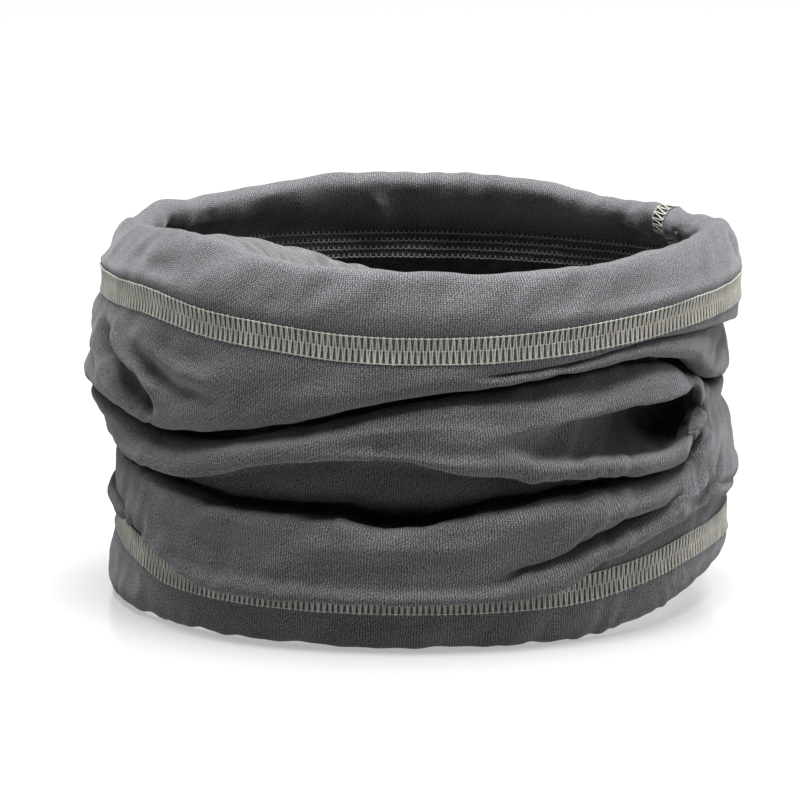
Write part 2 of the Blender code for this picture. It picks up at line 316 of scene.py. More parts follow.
bulge = 0.5 + 0.7 * near(-100.0, 34.0)
brow = np.maximum(brow, lip_1 + 2.7)
lip_up = lip_1 + mix(1.6, 0.6, tucked)
band_drop = band_low - lip_1
tier_top = top_2 - drop_2
tier_gap = tier_top - hollow_top
wall_rows = [
    row(0.45, stitch_top - 3.2),
    row(
        mix(0.7 + bulge * belly_1, 0.3, tucked),
        mix(band_low - 0.25 * band_drop, brow + 0.9, tucked),
    ),
    row(mix(belly_1 + 0.2, 0.5, tucked), mix(band_low - 0.42 * band_drop, brow, tucked)),
    row(
        mix(belly_1 + 0.3, -0.3 - tuck, tucked),
        mix(band_low - 0.55 * band_drop, brow + 0.5, tucked),
    ),
    row(
        mix(belly_1 + 0.2 + 0.3 * tip, belly_1 - 0.6, tucked),
        mix(band_low - 0.68 * band_drop, brow - 1.1, tucked),
    ),
    row(0.8 * belly_1 + 0.1 + 0.7 * tip, lip_up),
    row(np.minimum(0.3 * belly_1, belly_1 + 0.3) - 1.2 + 0.7 * tip, lip_1 + 0.1),
    row(-5.0, lip_1 + 0.6),
    row(-9.0 - 2.0 * roll, 0.5 * (lip_1 + roll_top)),
    row(-12.5 - 5.0 * roll, roll_top - 0.8),
    row(-16.5 - 9.0 * roll, roll_top - 1.0),
    row(-20.0 - 12.0 * roll, roll_top - 6.5 - 2.0 * roll),
    row(-17.5 - 8.0 * roll, 0.6 * top_2 + 0.4 * roll_top - 6.0),
    row(-11.5, top_2 - 1.0),
    row(-8.0, top_2 - 0.4),
    row(mix(-5.0, -4.5, folded) + 0.35 * tip, top_2 - 0.1),
    row(mix(-3.4, -2.0 - 0.5 * drop_2, folded) + 0.8 * tip, top_2 - 0.22 * drop_2),
    row(0.8 * belly_2 - 0.5 + tip - 0.7 * lean, tier_top),
    row(belly_2 + 0.8 * tip - 0.7 * lean, tier_top - 0.55 * tier_gap),
    row(belly_2 + 0.5 * tilt + 0.55 * tip, hollow_top + 0.18 * tier_gap),
    row(belly_2 + tilt - 0.1 + 0.25 * tip, hollow_top - 0.1 + 0.4 * shallow, 0.04 * hollow),
    row(belly_2 + tilt * shallow, hollow_top + 0.10 * hollow, 0.45 * hollow),
    row(belly_2 + tilt * shallow, hollow_top - 0.04 * hollow - 0.4 * shallow, 1.00 * hollow),
    row(belly_2 + tilt * shallow, 0.35 * hollow_top + 0.65 * hollow_low, 1.05 * hollow),
    row(belly_2 + tilt * shallow, hollow_low - 0.06 * hollow + 0.3 * shallow, 0.55 * hollow),
    row(belly_2 + tilt, hollow_low - 0.1 - 0.2 * shallow, 0.02 * hollow),
    row(belly_2 + 1.6 * tilt, 0.5 * (hollow_low + end_2)),
    row(belly_2 + tilt - 0.9 * folded - 0.9 * tip, end_2 + 0.1 * folded),
    into(0.45, end_2 + 0.05 * recess * folded, 0.02),
    into(0.95, end_2 - 0.06 * cave, 0.08),
    into(0.78, end_2 - 0.40 * cave, 0.20),
    into(0.80, end_2 - 0.72 * cave, 0.32),
    into(1.45, top_3 + 0.3 * folded, 0.42),
    into(1.60, top_3 - 1.3 * folded, 0.48),
    into(0.85, top_3 - 1.0 * folded, 0.52),
    row(mix(belly_2, belly_3 - 1.6, 0.55 + 0.45 * folded), top_3 - 0.1),
    row(mix(belly_2 + 0.3, belly_3 - 0.3, folded), 0.72 * top_3 + 0.28 * ridge_3),
    row(belly_3 + 0.1, ridge_3),
    row(belly_3 + 0.3, 0.5 * (ridge_3 + crease_3)),
    row(belly_3 - 0.1 - 0.3 * slit_3, crease_3 + 0.9),
    row(belly_3 - 0.4 - 6.0 * slit_3, crease_3 + 0.2 + 0.5 * slit_3),
    row(belly_3 - 0.5 - 1.4 * slit_3, crease_3 - 0.9),
    row(0.5 * (belly_3 + over_out) + 0.6, 0.5 * (crease_3 + over)),
    row(mix(over_out, over_out + 0.5, hang), over + 0.8),
    row(mix(-3.5, over_out - 0.5, hang), over - 0.7),
    row(
        mix(-3.8, np.minimum(over_out - 1.9, -0.9), hang),
        mix(over - 1.8, np.maximum(over + 0.2, stitch_foot + 3.0), hang),
    ),
    row(
        mix(-4.0, np.minimum(over_out - 2.6, -1.9), hang),
        mix(over - 2.4, np.maximum(over + 0.8, stitch_foot + 4.6), hang),
    ),
    row(
        -1.75 - foot_in,
        np.minimum(stitch_foot + 3.4, np.maximum(over + 0.2, stitch_foot + 3.0)),
    ),
]
# past the pocket the second crease runs out into plain wall: its rows are spread evenly there
FIRST_PLAIN, LAST_PLAIN = 17, 37
for k in range(FIRST_PLAIN + 1, LAST_PLAIN):
    share = (k - FIRST_PLAIN) / (LAST_PLAIN - FIRST_PLAIN)
    spread = mix(wall_rows[FIRST_PLAIN], wall_rows[LAST_PLAIN], share)
    wall_rows[k] = mix(wall_rows[k], spread, (1.0 - folded)[:, None])
stitch_foot_row = row(-1.7 - foot_in, stitch_foot)
foot_rows = [
    row(-1.6 - 0.75 * foot_in, stitch_foot - 3.3),
    row(-1.5 - 0.15 * foot_in, foot + 0.45 * (stitch_foot - foot)),
    row(-1.9, foot + 3.2),
    row(-2.8, foot + 1.1),
    row(-4.3, foot),
    row(-5.8, foot + 1.1),
    row(-6.0, foot + 3.6),
    row(-5.0 - 0.8 * foot_in, stitch_foot - 2.5),
    row(-4.8 - 1.1 * foot_in, stitch_foot + 4.8),
]


# ---- the cloth as one grid -------------------------------------------------------
def between(u, v, at_u, at_v, t):
    """The point at knot t on the straight line from u (at its knot) to v."""
    s = ((t - at_u) / (at_v - at_u))[:, None]
    return u * (1 - s) + v * s


def spline(rows, count):
    """Centripetal curve through the rows, at count evenly spaced points per column."""
    p = np.stack(rows, axis=1)
    ends = np.concatenate([2 * p[:, :1] - p[:, 1:2], p, 2 * p[:, -1:] - p[:, -2:-1]], axis=1)
    fine = []
    steps = 10
    for i in range(1, ends.shape[1] - 2):
        a, b, c, d = ends[:, i - 1], ends[:, i], ends[:, i + 1], ends[:, i + 2]
        ta = np.zeros(len(a))
        tb = ta + np.sqrt(np.linalg.norm(b - a, axis=1)) + 1e-6
        tc = tb + np.sqrt(np.linalg.norm(c - b, axis=1)) + 1e-6
        td = tc + np.sqrt(np.linalg.norm(d - c, axis=1)) + 1e-6
        for j in range(steps):
            t = tb + (tc - tb) * (j / steps)
            ab = between(a, b, ta, tb, t)
            bc = between(b, c, tb, tc, t)
            cd = between(c, d, tc, td, t)
            fine.append(between(between(ab, bc, ta, tc, t), between(bc, cd, tb, td, t), tb, tc, t))
    fine.append(ends[:, -2])
    return even(np.stack(fine, axis=1), count)


def even(fine, count):
    """The same lines with count points each, evenly spaced along them."""
    out = np.empty((fine.shape[0], count, 3))
    for i, line in enumerate(fine):
        s = np.concatenate([[0.0], np.cumsum(np.linalg.norm(np.diff(line, axis=0), axis=1))])
        want = np.linspace(0.0, s[-1], count)
        for k in range(3):
            out[i, :, k] = np.interp(want, s, line[:, k])
    return out


def sideways(z):
    """The scrunched tube leans a little to the right: its middle's x, in millimetres, at a height."""
    return 0.7 + 1.5 * z / 92.0


def to_space(section):
    """Points given as (out, height, back) in millimetres to places in metres."""
    r = RADIUS + section[..., 0]
    z = section[..., 1]
    phi = np.radians(PHI)[:, None]
    return np.stack([sideways(z) + r * np.sin(phi), -r * np.cos(phi) + section[..., 2], z], axis=-1) * MM


def relax(grid, rounds, weight=0.5):
    """Rounds off the folds: each point moves towards the middle of its neighbours."""
    g = grid.copy()
    for _ in range(rounds):
        mean = 0.25 * (np.roll(g, 1, 0) + np.roll(g, -1, 0))
        mean[:, 1:-1] += 0.25 * (g[:, 2:] + g[:, :-2])
        g[:, 1:-1] += weight * (mean[:, 1:-1] - g[:, 1:-1])
    return g


def full_grid():
    """Top hem, wall and bottom hem as one grid of points: columns round the tube, rows down it."""
    every = top_rows + [stitch_row] + wall_rows + [stitch_foot_row] + foot_rows
    a = len(top_rows) + 1
    b = a + len(wall_rows) + 1
    # each block is a curve of its own, and shares a stitch line's row with the next
    top_block = spline(every[:a], TOP_ROWS)
    wall_block = spline(every[a - 1 : b], WALL_ROWS)
    foot_block = spline(every[b - 1 :], FOOT_ROWS)
    grid = np.concatenate([top_block, wall_block[:, 1:], foot_block[:, 1:]], axis=1)
    return relax(to_space(grid), 7)


def normals_of(grid):
    """Unit normals on the knit side."""
    du = np.roll(grid, -1, 0) - np.roll(grid, 1, 0)
    dv = np.gradient(grid, axis=1)
    n = np.cross(dv, du)
    n /= np.linalg.norm(n, axis=2)[..., None] + 1e-12
    return n


cloth = full_grid()
I_TOP = TOP_ROWS - 1
I_FOOT = TOP_ROWS - 1 + WALL_ROWS - 1
DEGREE = 1.39  # millimetres of cloth in one degree round the tube


def place_of(grid):
    """Azimuth from the front in degrees, radius and height in millimetres, of every grid point."""
    z = grid[..., 2] / MM
    x = grid[..., 0] / MM - sideways(z)
    y = grid[..., 1] / MM
    return np.degrees(np.arctan2(x, -y)), np.hypot(x, y), z


def strokes(grid, lines, weight):
    """Pulls ridges and presses valleys along lines of (azimuth, height): (depth, width, points)."""
    azimuth, _, z = place_of(grid)
    push = np.zeros(z.shape)
    for depth, width, points in lines:
        p = np.array(points, float)
        lengths = np.hypot(np.diff(p[:, 0]) * DEGREE, np.diff(p[:, 1]))
        start = np.concatenate([[0.0], np.cumsum(lengths)])
        best = np.full(z.shape, 1e9)
        where = np.zeros(z.shape)
        for k in range(len(p) - 1):
            ax = (azimuth - p[k, 0] + 180.0) % 360.0 - 180.0
            bx = p[k + 1, 0] - p[k, 0]
            by = p[k + 1, 1] - p[k, 1]
            ax, bx, ay = ax * DEGREE, bx * DEGREE, z - p[k, 1]
            t = np.clip((ax * bx + ay * by) / (bx * bx + by * by), 0.0, 1.0)
            d = np.hypot(ax - t * bx, ay - t * by)
            closer = d < best
            best = np.where(closer, d, best)
            where = np.where(closer, start[k] + t * lengths[k], where)
        share = where / start[-1]
        taper = np.clip(share / 0.25, 0, 1) * np.clip((1 - share) / 0.25, 0, 1)
        push += depth * np.exp(-((best / width) ** 2)) * (0.25 + 0.75 * taper)
    return grid + normals_of(grid) * (push * weight * MM)[..., None]


# (depth, width, line): a ridge where depth is above zero, a valley below it
RIGHT_EDGE = [(61.8, 59.6), (64.5, 55.0), (65.4, 49.0), (61.5, 42.4), (54.5, 37.6)]
outer_lines = [
    (2.4, 1.6, [(-68.5, 76.0), (-67.5, 70.0), (-63.4, 65.2), (-57.3, 62.2), (-53.4, 59.4),
                (-52.4, 56.4)]),
    (-4.0, 3.2, [(-76.0, 73.0), (-71.5, 66.0), (-65.5, 61.5), (-58.5, 57.5), (-54.6, 54.6)]),
    (-3.0, 1.5, [(-58.0, 58.0), (-54.3, 54.0)]),
    (-2.2, 2.4, [(-61.0, 68.6), (-54.5, 63.8), (-47.8, 61.0), (-37.0, 59.3)]),
    (0.8, 2.2, [(-58.0, 71.0), (-49.0, 66.0), (-40.0, 63.6)]),
    (-0.9, 2.4, [(-56.0, 73.0), (-47.1, 69.4), (-36.5, 67.6)]),
    (1.6, 3.0, [(-86.0, 70.0), (-80.0, 64.0), (-70.0, 57.0), (-60.0, 53.5)]),
    (-0.8, 4.0, [(-30.0, 66.5), (-14.0, 67.0), (2.0, 69.0)]),
    (0.6, 3.0, [(-24.0, 61.5), (-8.0, 64.0), (8.0, 67.0)]),
    (0.9, 2.4, [(-80.0, 47.0), (-66.0, 42.5), (-52.0, 41.2)]),
    (0.7, 2.6, [(-40.0, 49.0), (-20.0, 52.0), (0.0, 58.0), (16.0, 60.5)]),
    (-1.0, 2.6, [(-16.0, 50.0), (-2.0, 53.5), (12.0, 56.0)]),
    (0.7, 2.0, [(2.0, 51.0), (12.0, 50.5), (19.0, 48.0)]),
    (0.5, 2.2, [(p + 1.0, h) for p, h in RIGHT_EDGE]),
    (1.0, 1.5, [(-64.0, 36.6), (-47.4, 33.6), (-38.0, 31.0), (-28.0, 29.6)]),
    (-1.3, 3.0, [(-54.0, 27.0), (-42.0, 24.5), (-30.0, 21.5)]),
    (0.8, 2.4, [(-26.0, 26.5), (-10.0, 25.0), (6.0, 25.6), (20.0, 28.4)]),
    (-1.1, 3.0, [(-20.0, 19.8), (0.0, 20.4), (12.0, 22.4)]),
    (0.9, 1.8, [(21.1, 26.5), (32.6, 29.4), (42.4, 32.9), (49.2, 35.4), (56.5, 38.2), (62.9, 42.4)]),
    (-1.3, 2.2, [(24.0, 23.6), (36.0, 27.8), (46.0, 32.0)]),
    (1.1, 2.2, [(26.0, 18.6), (36.0, 22.8), (47.0, 27.0), (55.0, 29.0), (62.0, 32.5), (68.0, 38.0)]),
    (-2.0, 1.7, [(53.5, 29.9), (57.5, 29.3), (61.8, 30.2), (66.2, 32.4), (69.2, 35.6), (72.4, 40.5)]),
    (1.0, 1.4, [(51.4, 33.0), (52.4, 31.6), (54.6, 31.4), (56.6, 33.0)]),
    (-0.9, 1.8, [(66.0, 62.0), (73.0, 66.0), (82.0, 67.0)]),
    (0.8, 2.5, [(100.0, 40.0), (118.0, 46.0), (140.0, 44.0)]),
    (-1.6, 3.0, [(96.0, 34.0), (118.0, 38.0), (150.0, 35.0)]),
    (1.4, 3.0, [(-170.0, 66.0), (-150.0, 64.0), (-128.0, 61.0)]),
    (-1.5, 3.5, [(-168.0, 60.0), (-146.0, 57.0), (-120.0, 56.0)]),
    (-1.4, 3.0, [(150.0, 52.0), (172.0, 49.0), (-165.0, 50.0), (-146.0, 47.0)]),
    (1.2, 3.0, [(140.0, 30.0), (165.0, 33.0), (-170.0, 31.0), (-148.0, 33.0)]),
    (-1.2, 3.0, [(-140.0, 26.0), (-122.0, 29.0), (-106.0, 33.0)]),
    (-1.0, 2.4, [(112.0, 72.0), (117.0, 66.0), (121.0, 60.0)]),
    (-1.0, 2.4, [(131.0, 73.0), (127.0, 66.0), (125.0, 60.0)]),
]
inner_lines = [
    (1.5, 2.0, [(-169.0, 91.0), (-171.5, 86.0), (-174.5, 81.0)]),
    (-1.2, 4.0, [(-176.0, 90.0), (-179.0, 84.0)]),
    (1.0, 5.0, [(-160.0, 89.5), (-152.0, 86.5)]),
    (-1.1, 3.5, [(-150.0, 92.0), (-141.0, 88.0)]),
    (1.1, 2.6, [(165.0, 92.0), (170.0, 87.0)]),
    (-1.0, 4.0, [(150.0, 90.0), (158.0, 86.0)]),
    (1.5, 2.0, [(126.5, 93.0), (126.0, 88.0), (128.0, 82.0)]),
    (-1.8, 2.4, [(131.5, 92.0), (132.5, 87.0), (136.0, 82.0)]),
    (-1.6, 2.0, [(113.0, 92.0), (112.0, 87.0), (111.0, 82.0)]),
    (1.2, 1.8, [(108.0, 91.5), (106.0, 86.0)]),
    (-1.6, 1.7, [(-104.0, 93.0), (-105.0, 88.0), (-106.0, 82.0)]),
    (1.4, 1.6, [(-109.0, 93.0), (-110.5, 88.0), (-111.0, 82.0)]),
    (-1.7, 1.7, [(-114.5, 93.0), (-115.0, 88.0), (-114.0, 82.0)]),
    (1.3, 2.0, [(-121.0, 92.5), (-122.0, 87.0), (-121.0, 82.0)]),
    (-1.4, 2.4, [(-128.0, 92.0), (-129.0, 86.0)]),
    (0.9, 3.0, [(-137.0, 91.0), (-139.0, 86.0)]),
]
hem_lines = [
    (-0.7, 3.0, [(-68.0, 91.0), (-60.0, 88.5), (-50.0, 88.0)]),
    (0.6, 3.0, [(-74.0, 87.0), (-64.0, 85.0), (-50.0, 84.0)]),
    (-0.9, 2.4, [(80.0, 92.0), (84.0, 88.0), (86.0, 84.0)]),
    (0.7, 2.6, [(88.0, 91.0), (91.0, 86.0)]),
    (-0.5, 4.0, [(20.0, 84.0), (34.0, 85.5), (50.0, 87.0)]),
    (0.4, 5.0, [(-20.0, 83.0), (0.0, 82.0), (18.0, 82.5)]),
]


WAVES = 26


def ripples(grid, seed, height):
    """Small soft irregularity of real cloth, in millimetres along the normal."""
    draw = np.random.default_rng(seed)
    azimuth, _, _ = place_of(grid)
    steps = np.linalg.norm(np.diff(grid, axis=1), axis=2) / MM
    down = np.concatenate([np.zeros((COLUMNS, 1)), np.cumsum(steps, axis=1)], axis=1)
    angle = np.radians(azimuth)
    total = np.zeros(azimuth.shape)
    for _ in range(WAVES):
        turns = int(draw.integers(9, 64))
        pitch = draw.uniform(9.0, 34.0)
        size = draw.uniform(0.3, 1.0) * (14.0 / turns) ** 0.5
        total += size * np.sin(turns * angle + 2 * math.pi * down / pitch + draw.uniform(0, 6.28))
    return total * height / 3.0


row_number = np.arange(cloth.shape[1])[None, :]
_, radius, _ = place_of(cloth)
at_front = np.clip((radius - RADIUS + 5.5) / 2.5, 0.0, 1.0)

# strokes stay off the stitch lines, and off the parts of the wall that lie deep in a fold
in_wall = np.clip((row_number - I_TOP - 8) / 10.0, 0, 1)
in_wall = in_wall * np.clip((I_FOOT - 8 - row_number) / 10.0, 0, 1)
inner_face = np.clip((0.46 * TOP_ROWS - row_number) / 8.0, 0.0, 1.0)
outer_face = np.clip((row_number - 0.56 * TOP_ROWS) / 6.0, 0, 1)
outer_face = outer_face * np.clip((I_TOP - 8 - row_number) / 6.0, 0, 1)
cloth = strokes(cloth, outer_lines, at_front * in_wall)
cloth = strokes(cloth, inner_lines, inner_face)
cloth = strokes(cloth, hem_lines, outer_face)
calm = np.clip(np.abs(row_number - I_TOP) / 14.0, 0.15, 1)
calm = calm * np.clip(np.abs(row_number - I_FOOT) / 14.0, 0.15, 1)
cloth = cloth + normals_of(cloth) * (ripples(cloth, 11, 0.32) * calm * MM)[..., None]
cloth = relax(cloth, 2)
LOWEST = 0.00002
cloth[..., 2] = np.maximum(cloth[..., 2], LOWEST)



def thickness_share(grid, n):
    """The back face comes closer where a fold is tighter than the cloth is thick."""
    step = np.linalg.norm(grid[:, 2:] - grid[:, :-2], axis=2) / 2.0
    bend = grid[:, 2:] + grid[:, :-2] - 2.0 * grid[:, 1:-1]
    curve = np.maximum(-(bend * n[:, 1:-1]).sum(axis=2) / (step * step + 1e-12), 1.0)
    share = np.ones(grid.shape[:2])
    share[:, 1:-1] = np.minimum(0.7 / (curve * CLOTH * MM), 1.0)
    for _ in range(3):
        share[:, 1:-1] = np.minimum(share[:, 1:-1], np.minimum(share[:, 2:], share[:, :-2]))
    for _ in range(4):
        share[:, 1:-1] = 0.5 * share[:, 1:-1] + 0.25 * (share[:, 2:] + share[:, :-2])
    return np.maximum(share, 0.25)


lengths = np.linalg.norm(np.diff(cloth, axis=1), axis=2)
along = np.concatenate([np.zeros((COLUMNS, 1)), np.cumsum(lengths, axis=1)], axis=1)
normal = normals_of(cloth)
thin = thickness_share(cloth, normal)


# ---- meshes ---------------------------------------------------------------
def mesh_object(name, points, faces, uvs=None, smooth=True):
    mesh = bpy.data.meshes.new(name)
    mesh.from_pydata([tuple(p) for p in points], [], [tuple(f) for f in faces])
    if uvs is not None:
        layer = mesh.uv_layers.new(name="cloth")
        loops = np.empty(len(mesh.loops), np.int64)
        mesh.loops.foreach_get("vertex_index", loops)
        flat = uvs[loops].astype(np.float32)
        layer.data.foreach_set("uv", flat.reshape(-1))
    if smooth:
        mesh.polygons.foreach_set("use_smooth", np.ones(len(mesh.polygons), bool))
    made = bpy.data.objects.new(name, mesh)
    bpy.context.scene.collection.objects.link(made)
    return made


def sheet_object(name, first, last, thickness):
    """Closed double surface: the face side and, a cloth's thickness behind it, the brushed side."""
    g = cloth[:, first : last + 1]
    n = normal[:, first : last + 1]
    rows = g.shape[1]
    face_side = g.reshape(-1, 3)
    depth = thin[:, first : last + 1, None] * thickness * MM
    back_side = (g - n * depth).reshape(-1, 3)
    points = np.concatenate([face_side, back_side])
    i = np.arange(COLUMNS)[:, None]
    j = np.arange(rows - 1)[None, :]
    i2 = (i + 1) % COLUMNS
    a = i * rows + j
    b = i2 * rows + j
    outer = np.stack([a, a + 1, b + 1, b], axis=-1).reshape(-1, 4)
    total = COLUMNS * rows
    inner = outer[:, ::-1] + total
    # the cut edges, closed all round
    i = np.arange(COLUMNS)
    i2 = (i + 1) % COLUMNS
    lower = np.stack([i * rows, i2 * rows, i2 * rows + total, i * rows + total], axis=1)
    e = rows - 1
    upper = np.stack([i * rows + e, i * rows + e + total, i2 * rows + e + total, i2 * rows + e], axis=1)
    faces = np.concatenate([outer, inner, lower, upper])
    u = np.repeat(np.arange(COLUMNS)[:, None] * (ROUND / COLUMNS), rows, axis=1)
    v = 1000.0 * along[:, first : last + 1]
    uv = np.stack([u, v], axis=-1).reshape(-1, 2)
    made = mesh_object(name, points, faces, np.concatenate([uv, uv]))
    slots = np.zeros(len(faces), np.int32)
    slots[len(outer) :] = 1
    made.data.polygons.foreach_set("material_index", slots)
    # the seam column's texture coordinates run on instead of jumping back
    loops = np.empty(len(made.data.loops), np.int64)
    made.data.loops.foreach_get("vertex_index", loops)
    layer = made.data.uv_layers["cloth"]
    flat = np.empty(len(loops) * 2, np.float32)
    layer.data.foreach_get("uv", flat)
    flat = flat.reshape(-1, 2)
    quads = flat.reshape(-1, 4, 2)
    wide = quads[:, :, 0].max(axis=1) - quads[:, :, 0].min(axis=1) > 0.5 * ROUND
    low = quads[wide][:, :, 0] < 0.5 * ROUND
    fixed = quads[wide]
    fixed[:, :, 0] = np.where(low, fixed[:, :, 0] + ROUND, fixed[:, :, 0])
    quads[wide] = fixed
    layer.data.foreach_set("uv", quads.reshape(-1))
    return made


# ---- materials --------------------------------------------------------------
class Nodes:
    """A new material with its node tree and its Principled shader."""

    def __init__(self, name):
        self.material = bpy.data.materials.new(name)
        self.material.use_nodes = True
        self.tree = self.material.node_tree
        self.shader = self.tree.nodes["Principled BSDF"]

    def add(self, kind, **values):
        node = self.tree.nodes.new(kind)
        for key, value in values.items():
            setattr(node, key, value)
        return node

    def link(self, a, b):
        self.tree.links.new(a, b)

    def math(self, operation, a, b=None):
        node = self.add("ShaderNodeMath", operation=operation)
        for socket, value in zip(node.inputs, (a, b)):
            if value is None:
                continue
            if isinstance(value, (int, float)):
                socket.default_value = value
            else:
                self.link(value, socket)
        return node.outputs[0]

    def ramp(self, source, stops):
        node = self.add("ShaderNodeValToRGB")
        ramp = node.color_ramp
        while len(ramp.elements) < len(stops):
            ramp.elements.new(0.5)
        for element, (position, colour) in zip(ramp.elements, stops):
            element.position = position
            element.color = (*colour, 1.0)
        self.link(source, node.inputs[0])
        return node.outputs[0]


def noise(n, vector, scale, detail=2.0, roughness=0.5):
    node = n.add("ShaderNodeTexNoise")
    node.inputs["Scale"].default_value = scale
    node.inputs["Detail"].default_value = detail
    node.inputs["Roughness"].default_value = roughness
    n.link(vector, node.inputs["Vector"])
    return node.outputs[0]


def relief_to(n, height, strength, distance):
    bump = n.add("ShaderNodeBump")
    bump.inputs["Strength"].default_value = strength
    bump.inputs["Distance"].default_value = distance
    n.link(height, bump.inputs["Height"])
    n.link(bump.outputs[0], n.shader.inputs["Normal"])


def stretched(n, vector, scale):
    node = n.add("ShaderNodeVectorMath", operation="MULTIPLY")
    n.link(vector, node.inputs[0])
    node.inputs[1].default_value = scale
    return node.outputs[0]


WALE, COURSE, TWILL = 0.64, 0.58, 0.97


def knit_material():
    """Fine weft knit: wales and courses, uneven yarn, soft tonal clouds. Texture units are millimetres."""
    n = Nodes("knit_face")
    uv = n.add("ShaderNodeUVMap", uv_map="cloth").outputs[0]
    split = n.add("ShaderNodeSeparateXYZ")
    n.link(uv, split.inputs[0])
    drift = noise(n, uv, 0.22, 2.0)
    slip = noise(n, uv, 1.1, 1.0)
    across = n.math("ADD", split.outputs[0], n.math("MULTIPLY", drift, 1.4))
    across = n.math("ADD", across, n.math("MULTIPLY", slip, 0.22))
    down = n.math("ADD", split.outputs[1], n.math("MULTIPLY", drift, 0.9))
    wale = n.math("SINE", n.math("MULTIPLY", across, 2 * math.pi / WALE))
    course = n.math("SINE", n.math("MULTIPLY", down, 2 * math.pi / COURSE))
    twill = n.math("SINE", n.math("MULTIPLY", n.math("ADD", across, down), 2 * math.pi / TWILL))
    stitch = n.math("MULTIPLY", n.math("ADD", wale, n.math("MULTIPLY", course, 0.45)), 0.5)
    stitch = n.math("ADD", stitch, n.math("MULTIPLY", twill, 0.22))
    yarn = noise(n, stretched(n, uv, (2.3, 1.2, 1.0)), 1.0, 3.0, 0.65)
    speck = noise(n, uv, 3.0, 1.0)
    relief = n.math("ADD", n.math("MULTIPLY", stitch, 0.5), n.math("MULTIPLY", yarn, 1.3))
    relief_to(n, relief, 0.7, 0.00022)
    cloud = noise(n, uv, 0.045, 3.0)
    tone = n.math("ADD", n.math("MULTIPLY", stitch, 0.20), n.math("MULTIPLY", yarn, 0.60))
    tone = n.math("ADD", tone, n.math("MULTIPLY", speck, 0.30))
    tone = n.math("ADD", tone, n.math("MULTIPLY", cloud, 0.14))
    colour = n.ramp(
        tone,
        [(0.36, (0.020, 0.020, 0.022)), (0.54, (0.076, 0.075, 0.080)), (0.74, (0.185, 0.183, 0.193))],
    )
    n.link(colour, n.shader.inputs["Base Color"])
    n.shader.inputs["Roughness"].default_value = 0.80
    n.shader.inputs["Specular IOR Level"].default_value = 0.30
    n.shader.inputs["Sheen Weight"].default_value = 0.24
    n.shader.inputs["Sheen Roughness"].default_value = 0.35
    n.shader.inputs["Sheen Tint"].default_value = (0.92, 0.92, 0.97, 1.0)
    return n.material


def fleece_material():
    """Brushed side: tufts and fine fibre."""
    n = Nodes("brushed_back")
    uv = n.add("ShaderNodeUVMap", uv_map="cloth").outputs[0]
    fine = noise(n, uv, 1.5, 6.0, 0.75)
    tuft = noise(n, uv, 0.30, 4.0)
    strand = noise(n, stretched(n, uv, (2.4, 0.5, 1.0)), 1.0, 3.0, 0.7)
    relief = n.math("ADD", fine, n.math("MULTIPLY", tuft, 1.2))
    relief = n.math("ADD", relief, n.math("MULTIPLY", strand, 0.6))
    relief_to(n, relief, 0.9, 0.0006)
    colour = n.ramp(
        n.math("MULTIPLY", relief, 0.36),
        [(0.36, (0.036, 0.036, 0.038)), (0.50, (0.070, 0.070, 0.073)), (0.64, (0.125, 0.125, 0.130))],
    )
    n.link(colour, n.shader.inputs["Base Color"])
    n.shader.inputs["Roughness"].default_value = 0.95
    n.shader.inputs["Specular IOR Level"].default_value = 0.1
    n.shader.inputs["Sheen Weight"].default_value = 0.28
    n.shader.inputs["Sheen Roughness"].default_value = 0.5
    return n.material


def thread_material():
    """Twisted sewing thread, greyed beige."""
    n = Nodes("sewing_thread")
    place = n.add("ShaderNodeTexCoord").outputs["Object"]
    ply = noise(n, place, 2200.0, 3.0)
    patch = noise(n, place, 240.0)
    relief_to(n, ply, 0.6, 0.00012)
    tone = n.math("ADD", n.math("MULTIPLY", ply, 0.6), n.math("MULTIPLY", patch, 0.4))
    colour = n.ramp(
        tone,
        [(0.30, (0.20, 0.195, 0.168)), (0.50, (0.33, 0.322, 0.28)), (0.70, (0.47, 0.46, 0.41))],
    )
    n.link(colour, n.shader.inputs["Base Color"])
    n.shader.inputs["Roughness"].default_value = 0.55
    n.shader.inputs["Specular IOR Level"].default_value = 0.4
    n.shader.inputs["Sheen Weight"].default_value = 0.2
    return n.material


KNIT = knit_material()
FLEECE = fleece_material()
THREAD = thread_material()

top_hem = sheet_object("cloth_top_hem", 0, I_TOP, CLOTH)
wall = sheet_object("cloth_wall", I_TOP, I_FOOT, CLOTH)
bottom_hem = sheet_object("cloth_bottom_hem", I_FOOT, cloth.shape[1] - 1, CLOTH)
for item in (top_hem, wall, bottom_hem):
    item.data.materials.append(KNIT)
    item.data.materials.append(FLEECE)


# ---- stitches ---------------------------------------------------------------
def on_cloth(phi, distance, lift, origin):
    """Points on the cloth: azimuth in degrees, millimetres down the cloth from the origin row."""
    column = (np.asarray(phi) + 180.0) / 360.0 * COLUMNS
    c0 = np.floor(column).astype(int)
    f = (column - c0)[:, None]
    c0 = c0 % COLUMNS
    c1 = (c0 + 1) % COLUMNS
    out = []
    for c in (c0, c1):
        target = along[c, origin] + np.asarray(distance) * MM
        rows = along[c]
        k = np.clip((rows < target[:, None]).sum(axis=1) - 1, 0, cloth.shape[1] - 2)
        a = along[c, k]
        b = along[c, k + 1]
        t = ((target - a) / (b - a))[:, None]
        p = cloth[c, k] * (1 - t) + cloth[c, k + 1] * t
        n = normal[c, k] * (1 - t) + normal[c, k + 1] * t
        out.append(p + n * (np.asarray(lift) * MM)[:, None])
    return out[0] * (1 - f) + out[1] * f


